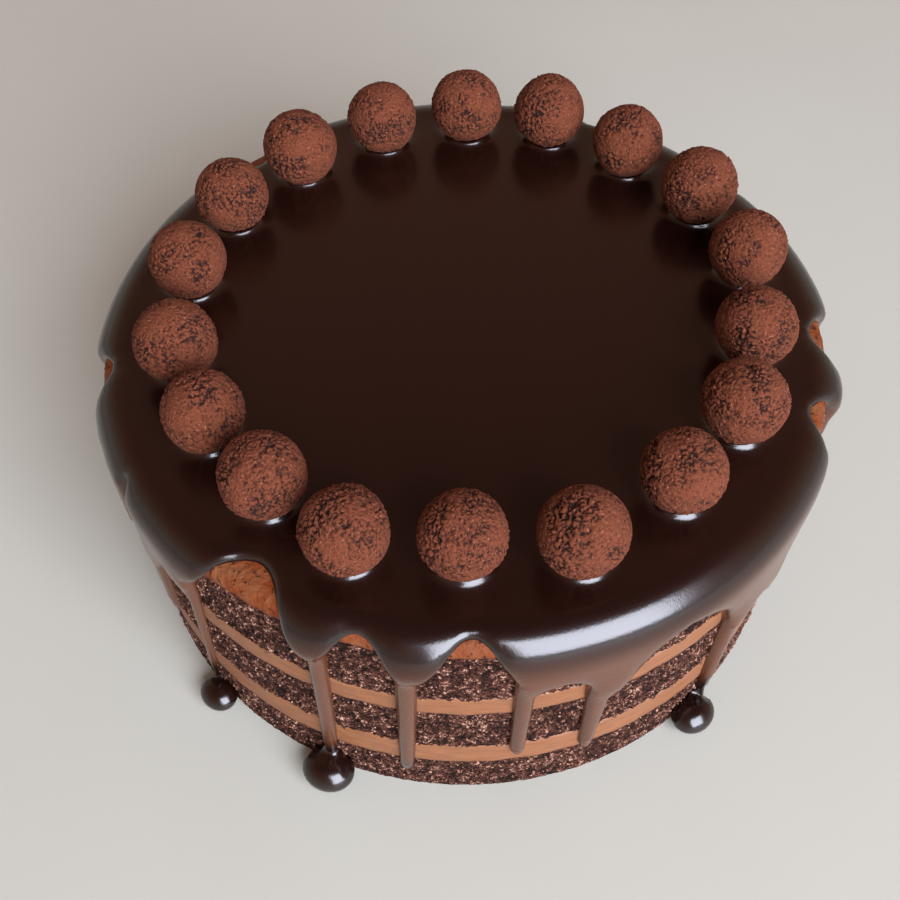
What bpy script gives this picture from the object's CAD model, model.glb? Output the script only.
import math
from collections import namedtuple
from functools import partial

import bpy
import numpy as np
from mathutils import Matrix, Vector
from mathutils.geometry import delaunay_2d_cdt
from mathutils.kdtree import KDTree


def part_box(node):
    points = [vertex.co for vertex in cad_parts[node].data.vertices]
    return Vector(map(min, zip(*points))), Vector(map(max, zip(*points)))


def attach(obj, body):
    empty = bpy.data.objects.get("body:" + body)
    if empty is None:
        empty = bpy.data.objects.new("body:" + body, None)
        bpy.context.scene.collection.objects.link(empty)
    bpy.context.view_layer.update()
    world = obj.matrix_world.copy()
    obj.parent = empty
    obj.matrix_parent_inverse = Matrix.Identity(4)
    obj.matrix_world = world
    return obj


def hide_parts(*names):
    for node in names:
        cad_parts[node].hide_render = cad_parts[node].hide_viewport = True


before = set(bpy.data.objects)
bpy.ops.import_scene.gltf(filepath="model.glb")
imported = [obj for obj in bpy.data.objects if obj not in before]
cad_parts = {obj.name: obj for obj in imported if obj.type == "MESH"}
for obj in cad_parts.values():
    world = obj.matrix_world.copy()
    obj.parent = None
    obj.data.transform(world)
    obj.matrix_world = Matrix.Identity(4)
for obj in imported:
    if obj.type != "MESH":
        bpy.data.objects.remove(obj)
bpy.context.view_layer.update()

bl_info = {
    "name": "Chocolate Truffle Cake",
    "version": (1, 0, 0),
    "blender": (4, 5, 0),
    "location": "3D View > Sidebar > Cake",
    "description": "Dresses a chocolate layer cake: crumb and cream, poured glaze and cocoa truffles",
    "category": "Object",
}

# Lengths are in millimetres where no comment says otherwise, and MM turns them into Blender's metres
MM = 0.001

# The cake's own sizes, read from the frame
WALL_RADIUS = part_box("sponge_middle")[1].x / MM
GIRTH = 2 * math.pi * WALL_RADIUS
CAKE_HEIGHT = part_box("cream_top")[1].z / MM
GLAZE_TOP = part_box("glaze")[1].z / MM
TRUFFLES = sorted(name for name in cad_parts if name.startswith("truffle_"))

# Layers: node, and whether it is crumb, cream or the thin coat on top
LAYERS = [
    ("sponge_bottom", "sponge"),
    ("cream_lower", "cream"),
    ("sponge_middle", "sponge"),
    ("cream_upper", "cream"),
    ("sponge_top", "sponge"),
    ("cream_top", "coat"),
]

# Drips round the wall, counter-clockwise from the left: wall angle and lean aside in degrees, then the
# foot's height, the stem's width, its share of that width at the foot, the width of the bead on the
# floor, how far the bead lies aside and how far the glaze swells out above the stem
Drip = namedtuple("Drip", "at lean foot wide taper bead shift swell")
DRIPS = [
    Drip(-152.5, 0, 62, 8, 0.5, 0, 0, 0.4),
    Drip(-145, -0.5, 27, 8, 0.5, 0, 0, 0.4),
    Drip(-133.4, -3.4, 0, 5.2, 0.6, 12.6, 5.2, 0.8),
    Drip(-110.5, -1.3, 0, 6, 0.85, 15.8, 1.2, 1.8),
    Drip(-97.8, -1, 12.5, 6.8, 0.7, 0, 0, 1.8),
    Drip(-81.4, -0.4, 25.5, 6.2, 0.8, 0, 0, 0.6),
    Drip(-70.3, -0.5, 19, 7.8, 0.55, 0, 0, 0.6),
    Drip(-45.2, -2, 0, 7.6, 0.45, 14.2, -5.8, 0.6),
    Drip(-35, 0, 42, 7, 0.5, 0, 0, 0.4),
    Drip(-26, 0, 48, 6.5, 0.5, 0, 0, 0.4),
    Drip(-11, 1, 20, 7, 0.5, 0, 0, 1.2),
    Drip(7, 0, 33, 6.5, 0.5, 0, 0, 1.2),
    Drip(26, 1.5, 0, 6.5, 0.5, 15, 2, 0.8),
    Drip(44, 0, 25, 6.5, 0.5, 0, 0, 0.8),
    Drip(56, -1, 40, 7, 0.5, 0, 0, 0.8),
    Drip(75, 0, 12, 6.5, 0.5, 0, 0, 1.6),
    Drip(92, 1, 0, 6, 0.6, 16, 0, 1.6),
    Drip(105, 0, 36, 6, 0.5, 0, 0, 0.6),
    Drip(123, -1, 17, 6, 0.5, 0, 0, 1.4),
    Drip(143, 1, 0, 6, 0.6, 14, -3, 1.2),
    Drip(156, 0, 42, 6.5, 0.5, 0, 0, 0.6),
    Drip(181, 0, 28, 7, 0.5, 0, 0, 1.2),
    Drip(198, -1, 24, 7, 0.5, 0, 0, 0.8),
]
BEADED = [drip for drip in DRIPS if drip.bead]

# The arch after each drip: how far its top and its two springings lie down the surface from where the
# flat top begins to round over, where its top lies along its span, and which share of each flank's
# width flares out at the bottom. With a power of 2 an arch without flare would be part of an ellipse
Arch = namedtuple("Arch", "top left right apex flare_left flare_right")
ARCHES = [
    Arch(6, 34, 36, 0.5, 0.2, 0.2),
    Arch(24.5, 36, 30, 0.6, 0.2, 0.2),
    Arch(-2.3, 17, 19, 0.5, 0.33, 0.22),
    Arch(5.4, 15, 16, 0.49, 0.27, 0.12),
    Arch(3.7, 19, 19.5, 0.555, 0.37, 0.2),
    Arch(25.2, 31, 34, 0.45, 0, 0),
    Arch(16.8, 41, 44, 0.49, 0.29, 0),
    Arch(40, 46, 48, 0.3, 0.2, 0.2),
    Arch(24, 34, 34, 0.5, 0.3, 0.3),
    Arch(2.2, 19, 19, 0.5, 0, 0),
    Arch(2, 19, 19, 0.5, 0, 0.1),
    Arch(16, 28, 26, 0.5, 0.3, 0.4),
    Arch(8, 20, 22, 0.55, 0.4, 0.3),
    Arch(24, 34, 34, 0.5, 0, 0),
    Arch(3, 15, 17, 0.45, 0.4, 0.4),
    Arch(6, 14, 14, 0.5, 0.5, 0.5),
    Arch(20, 30, 32, 0.5, 0.2, 0.4),
    Arch(10, 22, 20, 0.45, 0.4, 0.5),
    Arch(0, 16, 14, 0.55, 0.3, 0.4),
    Arch(28, 38, 40, 0.5, 0.1, 0.1),
    Arch(12, 26, 24, 0.5, 0.4, 0.3),
    Arch(3.5, 18, 18, 0.5, 0.2, 0.2),
    Arch(14, 28, 30, 0.5, 0.4, 0.3),
]
ARCH_POWER = 1.8

# The wall's foot: how far it spreads out, from which height on, and up to which height its relief is
# pressed flat, to which share at the floor
FOOT_SPREAD = 0.7
FOOT_HEIGHT = 70
PRESSED_HEIGHT = 3
PRESSED_SHARE = 0.25

# The line between two layers: how wide its waves are, and how far from it the wall follows them
WAVE_WIDTH = 7
WAVE_REACH = 3

# The length of a stem's round tip, in stem widths
STEM_TIP = 0.6

# Where the drips grow thinner on their way down the wall
THIN_FROM = 16
THIN_TO = 60

# Where the glaze swells above a stem: how far above its springing, how far it fades down and up, and
# how far aside in stem widths
SWELL_ABOVE = 3
SWELL_BELOW = 3.5
SWELL_REACH = 7
SWELL_WIDTH = 1.3

# A bead is a flattened ball that leans on the wall: its height and its reach out from the wall as
# shares of a ball's, how far the glaze wraps round it in degrees, where it is split from its front to
# its back, and in bead radii which points make way for it and which become part of it
BEAD_SQUASH = 0.72
BEAD_REACH = 0.9
BEAD_WRAP = 150
BEAD_RINGS = (0.07, 0.15, 0.23, 0.31, 0.39, 0.47, 0.55, 0.63, 0.71, 0.79, 0.87, 0.95)
BEAD_CLEARED = 0.97
BEAD_TAKEN = 1.02

# How far the glaze's lowest points stay above the floor
FLOOR_CLEARANCE = 0.4

# The neck where a stem runs into its bead: where it starts and ends in bead radii from the bead's
# middle, how far aside it goes in stem widths, and how much of its creases is evened out
NECK_FROM = 0.55
NECK_TO = 1.7
NECK_WIDTH = 0.9
NECK_EASING = 0.7

# How finely the glaze is split: the points that draw a stem's side and half an arch, along its edge,
# whose corners are softened, in rings inside the edge, which must keep a share of their distance from
# it, over the sheet and how far that goes in over the top, over the rest of the top, and on the
# underside and how far that stays off the rounding. Points nearer than the last value are merged
STEM_POINTS = 160
ARCH_POINTS = 80
EDGE_STEP = 0.75
EDGE_SOFTNESS = 1.0
LIP_RINGS = (0.2, 0.55, 1.05, 1.7, 2.5)
LIP_KEPT = 0.95
SHEET_STEP = 1.6
SHEET_INWARD = 10
TOP_STEP = 5.0
UNDERSIDE_STEP = 12.0
UNDERSIDE_MARGIN = 5
MERGE_WITHIN = 1e-6

# How deep the underside is sunk into the cake, and how often, how much and from how far inside the edge
# creases in the glaze's depth are evened out
GLAZE_SINK = 1.0
EASING_PASSES = 6
SHEET_EASING = 0.6
EASING_FROM = 0.5

# The collar of glaze that climbs each truffle's foot: where it meets the truffle, how high it climbs,
# how fast it falls away, how it is split and how far other points stay clear of it
COLLAR_RADIUS = 7.8
COLLAR_CLIMB = 1.95
COLLAR_FALL = 1.35
COLLAR_RINGS = (4.0, 6.0, 7.3, 7.8, 8.2, 8.7, 9.3, 10.0, 11.0, 12.5)
COLLAR_COLUMNS = 44
COLLAR_CLEARANCE = 0.7

# Where the glaze's look changes, as heights above the floor: from glossy beads to thin, dull drips, from
# the drips to the thick rim, and from dull to glossy, with the strength of its mirroring in each
BEADS_TO_DRIPS = (14, 22)
DRIPS_TO_RIM = (CAKE_HEIGHT - 14, CAKE_HEIGHT - 2)
DULL_TO_GLOSSY = (CAKE_HEIGHT - 8, CAKE_HEIGHT - 1)
GLAZE_GLOSS = (0.18, 0.5)

# The camera's place, its turns in degrees, its sensor's width and its lens, found from the photograph
CAMERA_PLACE = (0, -233.21, 342.12)
CAMERA_PITCH = 53.466
CAMERA_YAW = -1.207
CAMERA_ROLL = -0.779
SENSOR_WIDTH = 36
CAMERA_LENS = 44.486

# The room's tone from the horizon to overhead, by the sine of the height above the horizon
ROOM_TONES = ((0, "#c4c0ba"), (0.3, "#b4a292"), (0.62, "#9e6e5a"), (0.88, "#6c493f"), (1, "#4c3a34"))

# The lights: place, width and height in metres, watts, tint, and whether the glaze mirrors them, and
# the point that they shine at, in metres too
Light = namedtuple("Light", "name place width height watts tint mirrored")
LIGHTS = [
    Light("Window", (1.05, -1.79, 1.28), 1.9, 2.1, 184, "#e9efff", True),
    Light("Fill", (-0.2, 0.2, 2.2), 3.0, 3.0, 9, "#fffaf4", False),
]
LIGHT_AIM = Vector((0, 0, 0.08))

# The table top: how far it goes on, in metres, and how wide the faint clouds in it are
FLOOR_REACH = 4.0
FLOOR_CLOUD = 60


def linear(hex_colour):
    """An sRGB hex colour such as "#33221d" as linear red, green and blue."""
    shares = [int(hex_colour[i:i + 2], 16) / 255 for i in (1, 3, 5)]
    return [s / 12.92 if s <= 0.04045 else ((s + 0.055) / 1.055) ** 2.4 for s in shares]


def length(name, description, millimetres):
    """A length that the user can change."""
    return bpy.props.FloatProperty(
        name=name, description=description, default=millimetres * MM, unit="LENGTH", precision=5
    )


def colour(name, description, hex_colour):
    """A colour that the user can change."""
    return bpy.props.FloatVectorProperty(
        name=name, description=description, default=linear(hex_colour), subtype="COLOR", min=0, max=1
    )


class CakeSizes(bpy.types.PropertyGroup):
    """Sizes of the cake's surfaces"""

    edge_rounding: length("Edge rounding", "Radius that the glaze follows round the top edge", 7)
    coat_rounding: length("Coat rounding", "Radius of the coat's own top edge", 4.5)
    glaze_gathered: length("Gathered glaze", "How much deeper the glaze lies on the rim at the right", 1.4)
    glaze_on_top: length("Glaze on top", "Depth of the glaze on the flat top", 2.5)
    glaze_on_rim: length("Glaze on rim", "Depth of the glaze over the rim", 3.6)
    glaze_on_foot: length("Glaze on foot", "Depth of the drips low on the wall", 2.7)
    lip_width: length("Lip width", "How far in from its edge the glaze is rounded", 3.0)
    crumb_size: length("Crumb size", "Width of one crumb in the sponge's wall", 1.5)
    crumb_depth: length("Crumb depth", "How far crumbs stand out of the sponge's wall", 0.9)
    edge_wave: length("Edge wave", "How far the line between two layers wanders up and down", 0.7)
    truffle_grain: length("Truffle grain", "Width of the cocoa crumbs on a truffle", 1.1)
    truffle_relief: length("Truffle relief", "Depth of a truffle's crumbs and pits", 0.8)


class CakeColours(bpy.types.PropertyGroup):
    """Colours of the cake's foods"""

    crumb: colour("Crumb", "Sponge where the light reaches it", "#583327")
    crumb_light: colour("Light crumb", "Dry crumbs that stand out of the sponge", "#d2a78e")
    crumb_pit: colour("Crumb pit", "Holes between the crumbs", "#190c09")
    cream: colour("Cream", "Milk chocolate cream between the sponges", "#865635")
    cream_dark: colour("Dark cream", "Cream smeared with crumb", "#75472b")
    coat: colour("Coat", "Thin cream coat under the glaze", "#6c2d0c")
    coat_dark: colour("Dark coat", "Specks of crumb in the coat", "#3a1c10")
    glaze: colour("Glaze", "Dark chocolate glaze", "#160704")
    glaze_thin: colour("Thin glaze", "Glaze where it runs thin over the wall", "#52301f")
    cocoa: colour("Cocoa", "Truffles dusted with cocoa", "#6a3620")
    cocoa_light: colour("Light cocoa", "Dry grains on a truffle", "#a8705a")
    cocoa_pit: colour("Cocoa pit", "Pits and cracks in a truffle", "#28120c")
    floor: colour("Floor", "Pale table top", "#b1b1a5")
    floor_cloud: colour("Floor cloud", "Faint clouds in the table top", "#adaca1")


# Kinds of node that are used often
MATH = "ShaderNodeMath"
VECTOR_MATH = "ShaderNodeVectorMath"
NOISE = "ShaderNodeTexNoise"
MAP_RANGE = "ShaderNodeMapRange"


def add_node(tree, kind, inputs=None, operation=None, **settings):
    """Adds a node with these settings, sets or links its inputs, and gives its outputs."""
    node = tree.nodes.new(kind)
    if operation:
        node.operation = operation
    for name, value in settings.items():
        setattr(node, name, value)
    for key, value in (inputs or {}).items():
        if isinstance(value, bpy.types.NodeSocket):
            value = [value]
        if isinstance(value, list):
            for source in value:
                tree.links.new(source, node.inputs[key])
        else:
            node.inputs[key].default_value = value
    return node.outputs


# Materials

def food_material(name, shade):
    """A material whose Principled shader takes the inputs that shade(add, place of a point) gives."""
    material = bpy.data.materials.new(name)
    material.use_nodes = True
    tree = material.node_tree
    tree.nodes.clear()
    add = partial(add_node, tree)
    place = add("ShaderNodeTexCoord")["Object"]
    shader = add("ShaderNodeBsdfPrincipled", shade(add, place))
    add("ShaderNodeOutputMaterial", {"Surface": shader["BSDF"]})
    return material


def solid(rgb):
    """A colour with full cover, as a shader's colour input takes it."""
    return (*rgb, 1)


def blended(add, value, low, high, first, second):
    """Passes from the first colour to the second as a value rises from low to high."""
    share = add(MAP_RANGE, {"Value": value, "From Min": low, "From Max": high})[0]
    return add("ShaderNodeMix", {0: share, 6: first, 7: second}, data_type="RGBA")[2]


def sponge_material(colours):
    """Baked chocolate sponge, torn open by trimming: near-black holes between dry, paler crumbs."""
    def shade(add, place):
        relief = add("ShaderNodeAttribute", attribute_name="relief")["Fac"]
        grain = add(
            NOISE,
            {"Vector": place, "Scale": 1 / (0.7 * MM), "Detail": 5.0, "Roughness": 0.65},
        )["Fac"]
        height = add(MATH, {0: relief, 1: 0.2, 2: grain}, "MULTIPLY_ADD")[0]
        dark = blended(add, height, 0.41, 0.55, solid(colours.crumb_pit), solid(colours.crumb))
        return {
            "Base Color": blended(add, height, 0.57, 0.74, dark, solid(colours.crumb_light)),
            "Roughness": 0.7,
            "Specular IOR Level": 0.1,
            "Normal": add("ShaderNodeBump", {"Height": grain, "Strength": 1.0, "Distance": 0.8 * MM})[0],
        }
    return food_material("Chocolate sponge crumb", shade)


def cream_material(colours):
    """Whipped milk chocolate cream, scraped smooth: satin, with faint drag marks round the wall."""
    def shade(add, place):
        stretched = add("ShaderNodeMapping", {"Vector": place, "Scale": (1, 1, 6)})[0]
        drag = add(NOISE, {"Vector": stretched, "Scale": 1 / (9 * MM), "Detail": 5.0})["Fac"]
        return {
            "Base Color": blended(add, drag, 0.35, 0.75, solid(colours.cream), solid(colours.cream_dark)),
            "Roughness": 0.55,
            "IOR": 1.42,
            "Normal": add("ShaderNodeBump", {"Height": drag, "Strength": 0.35, "Distance": 0.6 * MM})[0],
        }
    return food_material("Milk chocolate cream", shade)


def coat_material(colours):
    """A thin crumb coat of cream that has dried under the glaze: orange brown with dark specks."""
    def shade(add, place):
        specks, clouds = (
            add(NOISE, {"Vector": place, "Scale": 1 / (width * MM), "Detail": 3.0})["Fac"]
            for width in (1.6, 6)
        )
        base = blended(add, clouds, 0.35, 0.7, solid(colours.coat), solid(colours.cream_dark))
        return {
            "Base Color": blended(add, specks, 0.57, 0.68, base, solid(colours.coat_dark)),
            "Roughness": 0.6,
            "Specular IOR Level": 0.15,
            "Normal": add("ShaderNodeBump", {"Height": specks, "Strength": 0.9, "Distance": 0.8 * MM})[0],
        }
    return food_material("Crumb coat of cream", shade)


def glaze_material(colours):
    """Dark chocolate and cream glaze, poured warm and set: nearly black, glossy, with a fine grain."""
    def shade(add, place):
        grain = add(NOISE, {"Vector": place, "Scale": 1 / (0.6 * MM), "Detail": 2.0})["Fac"]
        height = add("ShaderNodeSeparateXYZ", {0: place})["Z"]
        above_beads, on_rim, over_rim = (
            add(MAP_RANGE, {"Value": height, "From Min": low * MM, "From Max": high * MM})[0]
            for low, high in (BEADS_TO_DRIPS, DRIPS_TO_RIM, DULL_TO_GLOSSY)
        )
        on_beads = add(MATH, {0: 1.0, 1: above_beads}, "SUBTRACT")[0]
        thick, glossy = (
            add(MATH, {0: share, 1: on_beads}, "MAXIMUM")[0]
            for share in (on_rim, over_rim)
        )
        gloss = add(MAP_RANGE, {"Value": glossy, "To Min": GLAZE_GLOSS[0], "To Max": GLAZE_GLOSS[1]})[0]
        return {
            "Base Color": blended(add, thick, 0, 1, solid(colours.glaze_thin), solid(colours.glaze)),
            "Roughness": 0.2,
            "IOR": 1.6,
            "Specular IOR Level": gloss,
            "Normal": add("ShaderNodeBump", {"Height": grain, "Strength": 0.25, "Distance": 0.1 * MM})[0],
        }
    return food_material("Dark chocolate glaze", shade)


def cocoa_material(colours):
    """Rolled ganache dusted with cocoa: matte red brown, with dark pits and pale dry grains."""
    def shade(add, place):
        relief = add("ShaderNodeAttribute", attribute_name="relief")["Fac"]
        grain = add(
            NOISE,
            {"Vector": place, "Scale": 1 / (0.7 * MM), "Detail": 4.0, "Roughness": 0.6},
        )["Fac"]
        height = add(MATH, {0: grain, 1: 2.2, 2: relief}, "MULTIPLY_ADD")[0]
        base = blended(add, height, 0.3, 1.0, solid(colours.cocoa_pit), solid(colours.cocoa))
        return {
            "Base Color": blended(add, grain, 0.62, 0.74, base, solid(colours.cocoa_light)),
            "Roughness": 0.9,
            "Specular IOR Level": 0.25,
            "Normal": add("ShaderNodeBump", {"Height": grain, "Strength": 1.0, "Distance": 0.8 * MM})[0],
        }
    return food_material("Cocoa dusted truffle", shade)


# Geometry trees

def geometry_tree(name, inputs):
    """An empty geometry tree with these named inputs, and the sockets that give them inside it."""
    tree = bpy.data.node_groups.new(name, "GeometryNodeTree")
    for socket_name, kind in inputs.items():
        tree.interface.new_socket(socket_name, in_out="INPUT", socket_type="NodeSocket" + kind)
    tree.interface.new_socket("Geometry", in_out="OUTPUT", socket_type="NodeSocketGeometry")
    return tree, add_node(tree, "NodeGroupInput")


def tree_piece(name, tree, values):
    """Runs a geometry tree with these values and keeps its result as a plain mesh object."""
    piece = bpy.data.objects.new(name, bpy.data.meshes.new(name))
    bpy.context.scene.collection.objects.link(piece)
    modifier = piece.modifiers.new("Shape", "NODES")
    modifier.node_group = tree
    for item in tree.interface.items_tree:
        if item.in_out == "INPUT":
            modifier[item.identifier] = values[item.name]
    depsgraph = bpy.context.evaluated_depsgraph_get()
    made = bpy.data.meshes.new_from_object(
        piece.evaluated_get(depsgraph), preserve_all_data_layers=True, depsgraph=depsgraph
    )
    made.name = name
    piece.modifiers.clear()
    piece.data = made
    return piece


def close_tree(add, meshes, material):
    """Joins the meshes, realizes what is instanced, shades it smooth and gives it its material."""
    joined = add("GeometryNodeJoinGeometry", {0: meshes})[0]
    real = add("GeometryNodeRealizeInstances", {0: joined})[0]
    smooth = add("GeometryNodeSetShadeSmooth", {0: real})[0]
    dressed = add("GeometryNodeSetMaterial", {0: smooth, "Material": material})[0]
    add("NodeGroupOutput", {0: dressed})


def stuck_crumbs(add, mesh, selection, given):
    """Small uneven lumps, turned any way, stuck at random on the selected faces of a mesh."""
    seed = given["Seed"]
    points = add(
        "GeometryNodeDistributePointsOnFaces",
        {"Mesh": mesh, "Selection": selection, "Density": given["Crumb density"], "Seed": seed},
    )["Points"]
    lump = add("GeometryNodeMeshIcoSphere", {"Radius": 1.0, "Subdivisions": 1})[0]
    marked = add("GeometryNodeStoreNamedAttribute", {"Geometry": lump, "Name": "relief", "Value": 0.5})[0]
    turn, share = (
        add("FunctionNodeRandomValue", {0: low, 1: high, "Seed": seed}, data_type="FLOAT_VECTOR")[0]
        for low, high in (((0, 0, 0), (6.3, 6.3, 6.3)), ((0.3, 0.3, 0.3), (1, 1, 1)))
    )
    scale = add(VECTOR_MATH, {0: share, "Scale": given["Crumb size"]}, "SCALE")[0]
    return add(
        "GeometryNodeInstanceOnPoints",
        {"Points": points, "Instance": marked, "Rotation": turn, "Scale": scale},
    )[0]


def layer_tree():
    """A round layer of the cake: its wall has relief, its edges wander, its top edge may be rounded."""
    tree, given = geometry_tree("Cake layer", {
        "Radius": "Float", "Bottom": "Float", "Height": "Float", "Around": "Int", "Up": "Int",
        "Grain": "Float", "Relief": "Float", "Wave below": "Float", "Wave above": "Float",
        "Rounding": "Float", "Rounding from": "Float", "Crumb density": "Float", "Crumb size": "Float",
        "Seed": "Int", "Material": "Material",
    })
    add = partial(add_node, tree)
    drum = add(
        "GeometryNodeMeshCylinder",
        {
            "Vertices": given["Around"], "Side Segments": given["Up"], "Fill Segments": 5,
            "Radius": given["Radius"], "Depth": given["Height"],
        },
        fill_type="TRIANGLE_FAN",
    )
    middle = add(MATH, {0: given["Height"], 1: 0.5, 2: given["Bottom"]}, "MULTIPLY_ADD")[0]
    lift = add("ShaderNodeCombineXYZ", {"Z": middle})[0]
    raised = add("GeometryNodeSetPosition", {"Geometry": drum["Mesh"], "Offset": lift})[0]
    place = add("GeometryNodeInputPosition")[0]
    parts = add("ShaderNodeSeparateXYZ", {0: place})
    flat = add("ShaderNodeCombineXYZ", {"X": parts["X"], "Y": parts["Y"]})[0]
    outward = add(VECTOR_MATH, {0: flat}, "NORMALIZE")[0]
    reach = add(VECTOR_MATH, {0: flat}, "LENGTH")["Value"]
    wall_from = add(MATH, {0: given["Radius"], 1: 0.999}, "MULTIPLY")[0]
    on_wall = add(MATH, {0: reach, 1: wall_from}, "GREATER_THAN")[0]

    # Crumbs: rounded cells of uneven height with open joints, on a slow swell
    grain = add(MATH, {0: 1.0, 1: given["Grain"]}, "DIVIDE")[0]
    cells = add(
        "ShaderNodeTexVoronoi", {"Vector": place, "W": given["Seed"], "Scale": grain},
        voronoi_dimensions="4D",
    )
    tint = add("ShaderNodeSeparateXYZ", {0: cells["Color"]})["X"]
    swell_scale = add(MATH, {0: grain, 1: 0.35}, "MULTIPLY")[0]
    swell = add(
        NOISE, {"Vector": place, "W": given["Seed"], "Scale": swell_scale, "Detail": 3.0},
        noise_dimensions="4D",
    )["Fac"]
    domed = add(MATH, {0: cells["Distance"], 1: -1.3, 2: -0.6}, "MULTIPLY_ADD")[0]
    uneven = add(MATH, {0: tint, 1: 0.8, 2: domed}, "MULTIPLY_ADD")[0]
    relief = add(MATH, {0: swell, 1: 1.6, 2: uneven}, "MULTIPLY_ADD")[0]
    stored = add(
        "GeometryNodeStoreNamedAttribute", {"Geometry": raised, "Name": "relief", "Value": relief}
    )[0]

    # The rounded top edge draws the wall in
    above = add(MATH, {0: parts["Z"], 1: given["Rounding from"]}, "SUBTRACT")[0]
    over = add(MATH, {0: above, 1: 0.0}, "MAXIMUM")[0]
    square = add(MATH, {0: given["Rounding"], 1: 2.0}, "POWER")[0]
    over_square = add(MATH, {0: over, 1: 2.0}, "POWER")[0]
    left = add(MATH, {0: square, 1: over_square}, "SUBTRACT")[0]
    arc = add(MATH, {0: left}, "SQRT")[0]
    drawn_in = add(MATH, {0: arc, 1: given["Rounding"]}, "SUBTRACT")[0]

    # The wall spreads out towards its foot, where its relief is pressed flat
    spread = add(
        MAP_RANGE,
        {"Value": parts["Z"], "From Max": FOOT_HEIGHT * MM, "To Min": FOOT_SPREAD * MM, "To Max": 0.0},
    )[0]
    drawn = add(MATH, {0: drawn_in, 1: spread})[0]
    pressed = add(
        MAP_RANGE,
        {"Value": parts["Z"], "From Max": PRESSED_HEIGHT * MM, "To Min": PRESSED_SHARE, "To Max": 1.0},
    )[0]
    depth = add(MATH, {0: given["Relief"], 1: pressed}, "MULTIPLY")[0]
    out = add(MATH, {0: relief, 1: depth, 2: drawn}, "MULTIPLY_ADD")[0]
    aside = add(VECTOR_MATH, {0: outward, "Scale": out}, "SCALE")[0]

    # The lines to the layers below and above wander, alike in both layers that meet there
    upper = add(MATH, {0: parts["Z"], 1: middle}, "GREATER_THAN")[0]
    line = add(MATH, {0: upper, 1: given["Height"], 2: given["Bottom"]}, "MULTIPLY_ADD")[0]
    wave = add("ShaderNodeMix", {0: upper, 2: given["Wave below"], 3: given["Wave above"]})[0]
    on_line = add("ShaderNodeCombineXYZ", {"X": parts["X"], "Y": parts["Y"], "Z": line})[0]
    wander = add(NOISE, {"Vector": on_line, "Scale": 1 / (WAVE_WIDTH * MM), "Detail": 4.0})["Fac"]
    signed = add(MATH, {0: wander, 1: 2.0, 2: -1.0}, "MULTIPLY_ADD")[0]
    from_line = add(MATH, {0: parts["Z"], 1: line}, "SUBTRACT")[0]
    gap = add(MATH, {0: from_line}, "ABSOLUTE")[0]
    near = add(MAP_RANGE, {"Value": gap, "From Max": WAVE_REACH * MM, "To Min": 1.0, "To Max": 0.0})[0]
    size = add(MATH, {0: wave, 1: near}, "MULTIPLY")[0]
    rise = add(MATH, {0: signed, 1: size}, "MULTIPLY")[0]
    up = add("ShaderNodeCombineXYZ", {"Z": rise})[0]
    moved = add(VECTOR_MATH, {0: aside, 1: up})[0]
    shaped = add(
        "GeometryNodeSetPosition", {"Geometry": stored, "Selection": on_wall, "Offset": moved}
    )[0]

    # Loose crumbs stick to the wall, clear of the floor
    clear = add(MATH, {0: given["Crumb size"], 1: 2.0}, "MULTIPLY")[0]
    off_floor = add("FunctionNodeCompare", {0: parts["Z"], 1: clear}, "GREATER_THAN")[0]
    held = add("FunctionNodeBooleanMath", {0: drum["Side"], 1: off_floor})[0]
    crumbs = stuck_crumbs(add, shaped, held, given)
    close_tree(add, [shaped, crumbs], given["Material"])
    return tree


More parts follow.
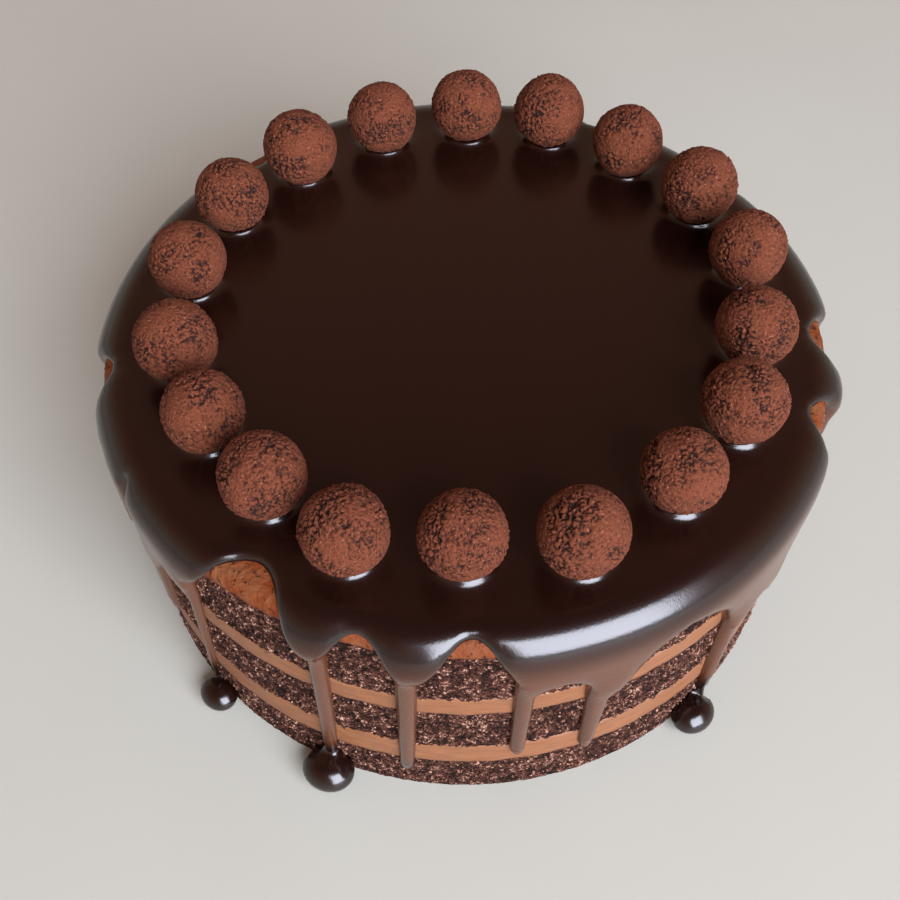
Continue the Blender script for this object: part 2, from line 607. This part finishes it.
def truffle_tree():
    """A rolled truffle: an uneven ball with a flat foot, rough and pitted in patches, smooth in others."""
    tree, given = geometry_tree("Truffle", {
        "Radius": "Float", "Centre": "Vector", "Foot": "Float", "Grain": "Float", "Relief": "Float",
        "Lump": "Float", "Crumb density": "Float", "Crumb size": "Float", "Seed": "Int",
        "Material": "Material",
    })
    add = partial(add_node, tree)
    ball = add("GeometryNodeMeshIcoSphere", {"Radius": given["Radius"], "Subdivisions": 6})[0]
    place = add("GeometryNodeInputPosition")[0]
    outward = add(VECTOR_MATH, {0: place}, "NORMALIZE")[0]
    grain = add(MATH, {0: 1.0, 1: given["Grain"]}, "DIVIDE")[0]

    def unevenness(share_of_grain, detail, shift):
        """Values from 0 to 1 that wander over this truffle, the slower the smaller the share."""
        scale = add(MATH, {0: grain, 1: share_of_grain}, "MULTIPLY")[0]
        depth = add(MATH, {0: given["Seed"], 1: shift})[0]
        return add(
            NOISE, {"Vector": place, "W": depth, "Scale": scale, "Detail": detail},
            noise_dimensions="4D",
        )["Fac"]

    # Rough patches among smooth ones
    patches = unevenness(0.14, 3.0, 0.3)
    patch = add(
        MAP_RANGE,
        {"Value": patches, "From Min": 0.42, "From Max": 0.62, "To Min": 0.2, "To Max": 1.0},
    )[0]
    fine_grain = unevenness(0.8, 3.0, 0.5)
    fine = add(MATH, {0: fine_grain, 1: 2.0, 2: -1.0}, "MULTIPLY_ADD")[0]

    # Joints between the crumbs, warped so that none runs straight
    crumb_scale = add(MATH, {0: grain, 1: 0.75}, "MULTIPLY")[0]
    warp = add(NOISE, {"Vector": place, "Scale": grain, "Detail": 2.0})["Color"]
    warped = add(VECTOR_MATH, {0: warp, 1: (1.4 * MM,) * 3, 2: place}, "MULTIPLY_ADD")[0]
    joints = add(
        "ShaderNodeTexVoronoi", {"Vector": warped, "W": given["Seed"], "Scale": crumb_scale},
        voronoi_dimensions="4D", feature="DISTANCE_TO_EDGE",
    )["Distance"]
    pit = add(
        MAP_RANGE,
        {"Value": joints, "From Min": 0.01, "From Max": 0.11, "To Min": -1.3, "To Max": 0.0},
    )[0]
    rough = add(MATH, {0: fine, 1: pit})[0]
    relief = add(MATH, {0: rough, 1: patch}, "MULTIPLY")[0]
    stored = add(
        "GeometryNodeStoreNamedAttribute", {"Geometry": ball, "Name": "relief", "Value": relief}
    )[0]

    # The ball's slow lumps, its loose crumbs, and the flat foot that it stands on
    slow_swell = unevenness(0.07, 1.0, 0.7)
    slow = add(MATH, {0: slow_swell, 1: 2.0, 2: -1.0}, "MULTIPLY_ADD")[0]
    lump = add(MATH, {0: slow, 1: given["Lump"]}, "MULTIPLY")[0]
    out = add(MATH, {0: relief, 1: given["Relief"], 2: lump}, "MULTIPLY_ADD")[0]
    aside = add(VECTOR_MATH, {0: outward, "Scale": out}, "SCALE")[0]
    shaped = add("GeometryNodeSetPosition", {"Geometry": stored, "Offset": aside})[0]
    crumbs = stuck_crumbs(add, shaped, True, given)
    joined = add("GeometryNodeJoinGeometry", {0: [shaped, crumbs]})[0]
    real = add("GeometryNodeRealizeInstances", {0: joined})[0]
    parts = add("ShaderNodeSeparateXYZ", {0: place})
    foot = add(MATH, {0: parts["Z"], 1: given["Foot"]}, "MAXIMUM")[0]
    standing = add("ShaderNodeCombineXYZ", {"X": parts["X"], "Y": parts["Y"], "Z": foot})[0]
    set_down = add(
        "GeometryNodeSetPosition", {"Geometry": real, "Position": standing, "Offset": given["Centre"]}
    )[0]
    close_tree(add, [set_down], given["Material"])
    return tree


# The poured glaze, worked out in millimetres round the wall and down the surface

def around(degrees):
    """How far round the wall an angle lies."""
    return math.radians(degrees) * WALL_RADIUS


def shorter_way(across):
    """Distances round the wall, each taken the shorter way."""
    return (across + GIRTH / 2) % GIRTH - GIRTH / 2


def about_axis(reach, angle):
    """Points this far from the cake's axis, at these angles round it."""
    return np.column_stack([reach * np.cos(angle), reach * np.sin(angle)])


def drop_at(height, rounding):
    """How far down the surface a height on the wall lies, from where the flat top begins to round over."""
    return math.pi / 2 * rounding + CAKE_HEIGHT - rounding - height


def flank(down, flare):
    """How far aside an arch reaches, 0 to 1, at these shares of the way down to its springing."""
    arc = (1 - (1 - down) ** ARCH_POWER) ** (1 / ARCH_POWER)
    foot = 1 - np.sqrt(1 - down ** 2)
    return (1 - flare) * arc + flare * foot


def bead_place(drip, rounding):
    """Where a bead's middle lies, round the wall and down the surface."""
    height = drip.bead / 2 * BEAD_SQUASH + FLOOR_CLEARANCE
    return around(drip.at + drip.lean) + drip.shift, drop_at(height, rounding)


def stem_side(drip, spring, side, rounding):
    """One side of a drip, from the springing of the arch beside it down to its round tip or bead."""
    foot = drop_at(max(drip.foot, FLOOR_CLEARANCE), rounding)
    share = np.linspace(0, 1, STEM_POINTS)
    drop = spring + (foot - spring) * share
    half = drip.wide / 2 * (1 + (drip.taper - 1) * share)
    tip = drip.wide * STEM_TIP
    into_tip = np.clip((drop - (foot - tip)) / tip, 0, 1)
    half = half * np.sqrt(1 - into_tip ** 2)
    aside = side * (around(drip.at) + around(drip.lean) * share) + half
    if drip.bead:
        bead_across, bead_drop = bead_place(drip, rounding)
        along = (drop - bead_drop) / (drip.bead / 2 * BEAD_SQUASH)
        bulge = side * bead_across + drip.bead / 2 * np.sqrt(np.maximum(1 - along ** 2, 0))
        aside = np.where(np.abs(along) < 1, np.maximum(aside, bulge), aside)
    return np.column_stack([side * aside, drop])


def arch_line(left, right, arch):
    """An arch from the springing beside its left drip, over its top, to its right drip."""
    start = around(left.at) + left.wide / 2
    end = around(right.at) - right.wide / 2
    apex = start + (end - start) * arch.apex
    down = np.sin(np.linspace(0, math.pi / 2, ARCH_POINTS)) ** 2
    falling, rising = (
        np.column_stack([apex + reach * flank(down, flare), arch.top + (spring - arch.top) * down])
        for reach, spring, flare in (
            (start - apex, arch.left, arch.flare_left), (end - apex, arch.right, arch.flare_right)
        )
    )
    return np.vstack([falling[::-1], rising[1:]])


def glaze_edge(rounding):
    """The glaze's edge as one closed line, with evenly spaced points and its corners softened."""
    pieces = []
    for index, drip in enumerate(DRIPS):
        last = index + 1 == len(DRIPS)
        following = DRIPS[0]._replace(at=DRIPS[0].at + 360) if last else DRIPS[index + 1]
        pieces.append(stem_side(drip, ARCHES[index - 1].right, -1, rounding))
        pieces.append(stem_side(drip, ARCHES[index].left, 1, rounding)[::-1])
        pieces.append(arch_line(drip, following, ARCHES[index]))
    line = np.vstack(pieces)
    closed = np.vstack([line, line[0] + (GIRTH, 0)])
    travelled = np.concatenate([[0], np.cumsum(np.linalg.norm(np.diff(closed, axis=0), axis=1))])
    count = round(travelled[-1] / EDGE_STEP)
    stops = np.arange(count) * travelled[-1] / count
    even = np.column_stack([np.interp(stops, travelled, closed[:, axis]) for axis in (0, 1)])
    reach = math.ceil(3 * EDGE_SOFTNESS / EDGE_STEP)
    weights = np.exp(-0.5 * (np.arange(-reach, reach + 1) * EDGE_STEP / EDGE_SOFTNESS) ** 2)
    weights /= weights.sum()
    wrapped = np.vstack([even[-reach:] - (GIRTH, 0), even, even[:reach] + (GIRTH, 0)])
    return np.column_stack([np.convolve(wrapped[:, axis], weights, "valid") for axis in (0, 1)])


def unrolled(line, rounding):
    """Points on the plane that the whole glaze is laid out on, with the cake's axis in the middle."""
    return about_axis(WALL_RADIUS - rounding + line[:, 1], line[:, 0] / WALL_RADIUS)


def rolled(plane, rounding):
    """The way back from that plane: distance round the wall and down the surface."""
    reach = np.linalg.norm(plane, axis=1)
    angle = np.arctan2(plane[:, 1], plane[:, 0])
    return np.column_stack([angle * WALL_RADIUS, reach - (WALL_RADIUS - rounding)])


def edge_distance(points, edge):
    """How far each point lies from the glaze's edge, along the surface."""
    def on_drum(line):
        return np.column_stack([about_axis(WALL_RADIUS, line[:, 0] / WALL_RADIUS), line[:, 1]])
    half_way = (edge + np.roll(edge, -1, axis=0)) / 2
    lined = on_drum(np.vstack([edge, half_way[:-1]]))
    nearest = KDTree(len(lined))
    for index, place in enumerate(lined):
        nearest.insert(place, index)
    nearest.balance()
    return np.array([nearest.find(place)[2] for place in on_drum(points)])


def bead_share(line, drip, rounding):
    """How far each point lies from a bead's middle, in bead radii, and which way."""
    away = line - bead_place(drip, rounding)
    away[:, 0] = shorter_way(away[:, 0])
    share = np.linalg.norm(away / (1, BEAD_SQUASH), axis=1) / (drip.bead / 2)
    return share, away


def sheet_points(edge, rounding, collars):
    """Points inside the glaze's edge: rings that follow the edge, rows over the sheet, truffle collars."""
    ahead = np.roll(edge, -1, axis=0) - np.roll(edge, 1, axis=0)
    ahead[:, 0] = shorter_way(ahead[:, 0])
    inward = np.column_stack([ahead[:, 1], -ahead[:, 0]]) / np.linalg.norm(ahead, axis=1)[:, None]
    rings = []
    for ring in LIP_RINGS:
        shifted = edge + inward * ring
        rings.append(shifted[edge_distance(shifted, edge) > LIP_KEPT * ring])
    columns = round(GIRTH / SHEET_STEP)
    rows = np.arange(-SHEET_INWARD, drop_at(0, rounding), SHEET_STEP)
    grid = [
        np.column_stack([(np.arange(columns) + row % 2 / 2) * GIRTH / columns, np.full(columns, drop)])
        for row, drop in enumerate(rows)
    ]
    sheet = np.vstack(grid)
    sheet = sheet[edge_distance(sheet, edge) > LIP_RINGS[-1] + SHEET_STEP / 2]
    followed = unrolled(np.vstack([*rings, sheet]), rounding)
    flat_reach = WALL_RADIUS - rounding - SHEET_INWARD - TOP_STEP / 2
    top = [np.zeros((1, 2))]
    for ring in np.arange(TOP_STEP, flat_reach, TOP_STEP):
        top.append(about_axis(ring, np.arange(0, 2 * math.pi, TOP_STEP / ring)))
    plain = np.vstack([followed, *top])
    for middle in collars:
        plain = plain[np.linalg.norm(plain - middle, axis=1) > COLLAR_RINGS[-1] + COLLAR_CLEARANCE]
    unit = about_axis(1, np.arange(COLLAR_COLUMNS) * 2 * math.pi / COLLAR_COLUMNS)
    rims = [middle + unit * ring for middle in collars for ring in COLLAR_RINGS]
    for drip in BEADED:
        plain = plain[bead_share(rolled(plain, rounding), drip, rounding)[0] > BEAD_CLEARED]
        oval = unit * (1, BEAD_SQUASH) * drip.bead / 2
        rims += [unrolled(bead_place(drip, rounding) + oval * ring, rounding) for ring in BEAD_RINGS]
    return np.vstack([plain, *rims])


def filled(edge_plane, inside_plane):
    """Triangles that fill the edge, through the points inside it: places, faces and the edge's indices."""
    count = len(edge_plane)
    places = [Vector(place) for place in np.vstack([edge_plane, inside_plane]).tolist()]
    sides = [(index, (index + 1) % count) for index in range(count)]
    inside_only = 1
    made, _, faces, sources, _, _ = delaunay_2d_cdt(places, sides, [], inside_only, MERGE_WITHIN)
    on_edge = np.zeros(count, int)
    for index, source in enumerate(sources):
        for old in source:
            if old < count:
                on_edge[old] = index
    return np.array([tuple(place) for place in made]), faces, on_edge


def glaze_depth(line, edge, faces, sizes, collars, plane):
    """Depth of the glaze at each point: a sheet with a round lip, swollen above drips, with collars."""
    rounding = sizes.edge_rounding / MM
    across, drop = line[:, 0], line[:, 1]
    over_rim = np.clip(drop / (math.pi / 2 * rounding), 0, 1)
    down_wall = np.clip((drop - THIN_FROM) / (THIN_TO - THIN_FROM), 0, 1)
    sheet = sizes.glaze_on_top + (sizes.glaze_on_rim - sizes.glaze_on_top) * over_rim
    to_right = np.maximum(np.cos(across / WALL_RADIUS), 0)
    sheet = sheet + sizes.glaze_gathered * over_rim * to_right
    sheet = (sheet + (sizes.glaze_on_foot - sizes.glaze_on_rim) * down_wall) / MM
    for index, drip in enumerate(DRIPS):
        spring = (ARCHES[index - 1].right + ARCHES[index].left) / 2
        aside = shorter_way(across - around(drip.at))
        below = drop - spring + SWELL_ABOVE
        along = below / np.where(below > 0, SWELL_BELOW, SWELL_REACH)
        sheet += drip.swell * np.exp(-(aside / (SWELL_WIDTH * drip.wide)) ** 2 - along ** 2)
    inside = edge_distance(line, edge)
    into_lip = np.clip(inside / (sizes.lip_width / MM), 0, 1)
    depth = (sheet + GLAZE_SINK) * np.sqrt(1 - (1 - into_lip) ** 2) - GLAZE_SINK
    depth = eased(depth, faces, np.clip(inside - EASING_FROM, 0, 1) * SHEET_EASING)
    for middle in collars:
        away = np.linalg.norm(plane - middle, axis=1)
        depth += COLLAR_CLIMB * np.exp(-np.maximum(away - COLLAR_RADIUS, 0) / COLLAR_FALL)
    return depth


def eased(measure, faces, share):
    """Evens out creases in a measure of the glaze, by a share of each point, from its neighbours."""
    corners = np.array(faces)
    ends = np.vstack([corners[:, pair] for pair in ((0, 1), (1, 2), (2, 0))])
    ends = np.vstack([ends, ends[:, ::-1]])
    count = np.maximum(np.bincount(ends[:, 0], minlength=len(measure)), 1)
    for _ in range(EASING_PASSES):
        beside = np.bincount(ends[:, 0], measure[ends[:, 1]], len(measure)) / count
        measure = measure + share * (beside - measure)
    return measure


def with_beads(line, depth, rounding):
    """Draws the glaze at the foot of a drip with a bead out into that flattened ball."""
    line, depth = line.copy(), depth.copy()
    wrap = math.radians(BEAD_WRAP)
    for drip in BEADED:
        share, away = bead_share(line, drip, rounding)
        turn = np.minimum(share, 1) * wrap
        ball = drip.bead / 2 * BEAD_REACH * (np.cos(turn) - math.cos(wrap)) - GLAZE_SINK
        drawn = np.sin(turn) / np.maximum(share, 1e-6)
        on_stem = (np.abs(away[:, 0] + drip.shift) < drip.wide * drip.taper / 2) & (away[:, 1] < 0)
        inside = (share < BEAD_TAKEN) & ((ball > depth) | ~on_stem)
        line[inside] += (away * (drawn - 1)[:, None])[inside]
        depth[inside] = ball[inside]
    return line, depth


def neck_share(line, rounding):
    """How much of each point's place is evened out, where a stem runs into its bead."""
    eased_share = np.zeros(len(line))
    for drip in BEADED:
        share, away = bead_share(line, drip, rounding)
        beside = np.abs(away[:, 0] + drip.shift) < drip.wide * NECK_WIDTH
        eased_share[beside & (away[:, 1] < 0) & (share > NECK_FROM) & (share < NECK_TO)] = NECK_EASING
    return eased_share


def foot_spread(height):
    """How far the cake's wall spreads out under its own weight at these heights."""
    return FOOT_SPREAD * np.clip(1 - height / FOOT_HEIGHT, 0, 1)


def over_cake(line, depth, rounding):
    """Where points this far round, this far down the surface and this far out from it lie, in metres."""
    drop = line[:, 1]
    turn = np.clip(drop / rounding, 0, math.pi / 2)
    before = np.minimum(drop, 0)
    beyond = np.maximum(drop - math.pi / 2 * rounding, 0)
    reach = WALL_RADIUS - rounding + before + (rounding + depth) * np.sin(turn)
    height = CAKE_HEIGHT - rounding + (rounding + depth) * np.cos(turn) - beyond
    reach += foot_spread(height)
    return np.column_stack([about_axis(reach, line[:, 0] / WALL_RADIUS), height]) * MM


def glaze_mesh(sizes):
    """The whole glaze as one closed shell: its outside, and an underside sunk a little into the cake."""
    rounding = sizes.edge_rounding / MM
    collars = [truffle_place(node)[0][:2] / MM for node in TRUFFLES]
    edge = glaze_edge(rounding)
    edge_plane = unrolled(edge, rounding)
    plane, faces, on_edge = filled(edge_plane, sheet_points(edge, rounding, collars))
    line = rolled(plane, rounding)
    depth = glaze_depth(line, edge, faces, sizes, collars, plane)
    outside = over_cake(*with_beads(line, depth, rounding), rounding)
    necks = neck_share(line, rounding)
    outside = np.column_stack([eased(outside[:, axis], faces, necks) for axis in range(3)])

    steps = np.arange(-WALL_RADIUS, WALL_RADIUS, UNDERSIDE_STEP)
    reach = WALL_RADIUS - rounding - UNDERSIDE_MARGIN
    coarse = np.array([(x, y) for x in steps for y in steps if math.hypot(x, y) < reach])
    under_plane, under_faces, under_edge = filled(edge_plane, coarse)
    under_line = rolled(under_plane, rounding)
    underside = over_cake(under_line, np.full(len(under_line), -GLAZE_SINK), rounding)
    target = np.arange(len(underside)) + len(outside)
    target[under_edge] = on_edge
    turned = target[np.array(under_faces)][:, ::-1]

    corners = np.vstack([faces, turned])
    used, renamed = np.unique(corners, return_inverse=True)
    places = np.vstack([outside, underside])[used]
    mesh = bpy.data.meshes.new("glaze_poured")
    mesh.from_pydata(places.tolist(), [], renamed.reshape(corners.shape).tolist())
    mesh.shade_smooth()
    return mesh


# Pieces

def truffle_place(node):
    """Middle of the ball that a truffle's solid is, and its radius."""
    low, high = (np.array(corner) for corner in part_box(node))
    radius = (high - low)[:2].mean() / 2
    middle = (low + high) / 2
    middle[2] = high[2] - radius
    return middle, radius


def finish_piece(piece, node):
    """Makes a piece stand for its solid and ride with the cake."""
    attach(piece, "root")
    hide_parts(node)
    return piece


class CAKE_OT_layers(bpy.types.Operator):
    """Makes the sponges, the creams between them and the coat on top"""

    bl_idname = "cake.layers"
    bl_label = "Bake the Layers"

    def execute(self, context):
        sizes = context.scene.cake_sizes
        colours = context.scene.cake_colours
        materials = {
            "sponge": sponge_material(colours),
            "cream": cream_material(colours),
            "coat": coat_material(colours),
        }
        step = {"sponge": 0.62 * MM, "cream": 0.9 * MM, "coat": 0.6 * MM}
        relief = {"sponge": sizes.crumb_depth, "cream": 0.18 * MM, "coat": 0.3 * MM}
        grain = {"sponge": sizes.crumb_size, "cream": 4 * MM, "coat": 2.5 * MM}
        density = {"sponge": 60000.0, "cream": 0.0, "coat": 4000.0}
        tree = layer_tree()
        for seed, (node, food) in enumerate(LAYERS):
            low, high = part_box(node)
            height = high.z - low.z
            piece = tree_piece(f"{node}_baked", tree, {
                "Radius": WALL_RADIUS * MM,
                "Bottom": low.z,
                "Height": height,
                "Around": round(GIRTH * MM / step[food]),
                "Up": round(height / step[food]),
                "Grain": grain[food],
                "Relief": relief[food],
                "Wave below": 0.0 if seed == 0 else sizes.edge_wave,
                "Wave above": 0.0 if food == "coat" else sizes.edge_wave,
                "Rounding": sizes.coat_rounding,
                "Rounding from": CAKE_HEIGHT * MM - sizes.coat_rounding,
                "Crumb density": density[food],
                "Crumb size": 0.6 * MM,
                "Seed": seed + 1,
                "Material": materials[food],
            })
            finish_piece(piece, node)
        return {"FINISHED"}


class CAKE_OT_glaze(bpy.types.Operator):
    """Pours the glaze over the top, with its arches, drips and beads"""

    bl_idname = "cake.glaze"
    bl_label = "Pour the Glaze"

    def execute(self, context):
        mesh = glaze_mesh(context.scene.cake_sizes)
        mesh.materials.append(glaze_material(context.scene.cake_colours))
        piece = bpy.data.objects.new("glaze_poured", mesh)
        context.scene.collection.objects.link(piece)
        finish_piece(piece, "glaze")
        return {"FINISHED"}


class CAKE_OT_truffles(bpy.types.Operator):
    """Sets the ring of truffles on the glaze"""

    bl_idname = "cake.truffles"
    bl_label = "Set the Truffles"

    def execute(self, context):
        sizes = context.scene.cake_sizes
        tree = truffle_tree()
        material = cocoa_material(context.scene.cake_colours)
        for seed, node in enumerate(TRUFFLES):
            middle, radius = truffle_place(node)
            piece = tree_piece(f"{node}_rolled", tree, {
                "Radius": radius,
                "Centre": middle.tolist(),
                "Foot": GLAZE_TOP * MM - middle[2],
                "Grain": sizes.truffle_grain,
                "Relief": sizes.truffle_relief,
                "Lump": 0.9 * MM,
                "Crumb density": 60000.0,
                "Crumb size": 0.4 * MM,
                "Seed": seed + 1,
                "Material": material,
            })
            finish_piece(piece, node)
        return {"FINISHED"}


class CAKE_OT_stage(bpy.types.Operator):
    """Puts the cake on a pale floor in soft window light, seen as in the photograph"""

    bl_idname = "cake.stage"
    bl_label = "Set the Stage"

    def execute(self, context):
        scene = context.scene
        scene.view_settings.view_transform = "Standard"
        self.camera(scene)
        self.floor(scene)
        self.light(scene)
        return {"FINISHED"}

    def camera(self, scene):
        pitch, yaw, roll = (math.radians(angle) for angle in (CAMERA_PITCH, CAMERA_YAW, CAMERA_ROLL))
        ahead = Vector((math.sin(yaw) * math.cos(pitch), math.cos(yaw) * math.cos(pitch), -math.sin(pitch)))
        level = Vector((math.cos(yaw), -math.sin(yaw), 0))
        above = level.cross(ahead)
        right = math.cos(roll) * level + math.sin(roll) * above
        up = math.cos(roll) * above - math.sin(roll) * level
        data = bpy.data.cameras.new("Camera")
        data.sensor_width = SENSOR_WIDTH
        data.lens = CAMERA_LENS
        data.clip_start = 10 * MM
        camera = bpy.data.objects.new("Camera", data)
        turn = Matrix((right, up, -ahead)).transposed().to_4x4()
        camera.matrix_world = Matrix.Translation(Vector(CAMERA_PLACE) * MM) @ turn
        scene.collection.objects.link(camera)
        scene.camera = camera

    def floor(self, scene):
        colours = scene.cake_colours
        mesh = bpy.data.meshes.new("floor")
        corners = [(x * FLOOR_REACH, y * FLOOR_REACH, 0) for x, y in ((-1, -1), (1, -1), (1, 1), (-1, 1))]
        mesh.from_pydata(corners, [], [(0, 1, 2, 3)])

        def shade(add, place):
            cloud = add(NOISE, {"Vector": place, "Scale": 1 / (FLOOR_CLOUD * MM), "Detail": 3.0})["Fac"]
            mixed = blended(add, cloud, 0, 1, solid(colours.floor), solid(colours.floor_cloud))
            return {"Base Color": mixed, "Roughness": 0.6}
        mesh.materials.append(food_material("Matt pale table top", shade))
        floor = bpy.data.objects.new("floor", mesh)
        scene.collection.objects.link(floor)

    def light(self, scene):
        world = bpy.data.worlds.new("Room")
        world.use_nodes = True
        scene.world = world
        tree = world.node_tree
        ahead = add_node(tree, "ShaderNodeTexCoord")["Generated"]
        height = add_node(tree, "ShaderNodeSeparateXYZ", {0: ahead})["Z"]
        walls = add_node(tree, "ShaderNodeValToRGB", {"Fac": height})["Color"]
        stops = walls.node.color_ramp.elements
        while len(stops) < len(ROOM_TONES):
            stops.new(0.5)
        for stop, (sine, tone) in zip(stops, ROOM_TONES):
            stop.position = sine
            stop.color = solid(linear(tone))
        tree.links.new(walls, tree.nodes["Background"].inputs["Color"])
        for lamp in LIGHTS:
            data = bpy.data.lights.new(lamp.name, "AREA")
            data.shape = "RECTANGLE"
            data.size = lamp.width
            data.size_y = lamp.height
            data.energy = lamp.watts
            data.color = linear(lamp.tint)
            light = bpy.data.objects.new(lamp.name, data)
            light.location = lamp.place
            light.rotation_euler = (LIGHT_AIM - Vector(lamp.place)).to_track_quat("-Z", "Y").to_euler()
            light.visible_glossy = lamp.mirrored
            scene.collection.objects.link(light)


class CAKE_PT_panel(bpy.types.Panel):
    """Lists the steps and settings of the cake"""

    bl_idname = "CAKE_PT_panel"
    bl_label = "Chocolate Truffle Cake"
    bl_space_type = "VIEW_3D"
    bl_region_type = "UI"
    bl_category = "Cake"

    def draw(self, context):
        for step in STEPS:
            self.layout.operator(step.bl_idname)
        for settings in (context.scene.cake_sizes, context.scene.cake_colours):
            for name in settings.bl_rna.properties.keys():
                if name not in ("rna_type", "name"):
                    self.layout.prop(settings, name)


STEPS = (CAKE_OT_stage, CAKE_OT_layers, CAKE_OT_glaze, CAKE_OT_truffles)
CLASSES = (CakeSizes, CakeColours, *STEPS, CAKE_PT_panel)


def register():
    for made in CLASSES:
        bpy.utils.register_class(made)
    bpy.types.Scene.cake_sizes = bpy.props.PointerProperty(type=CakeSizes)
    bpy.types.Scene.cake_colours = bpy.props.PointerProperty(type=CakeColours)


def unregister():
    del bpy.types.Scene.cake_colours
    del bpy.types.Scene.cake_sizes
    for made in reversed(CLASSES):
        bpy.utils.unregister_class(made)


def main():
    register()
    bpy.ops.cake.stage()
    bpy.ops.cake.layers()
    bpy.ops.cake.glaze()
    bpy.ops.cake.truffles()


if __name__ == "__main__":
    main()
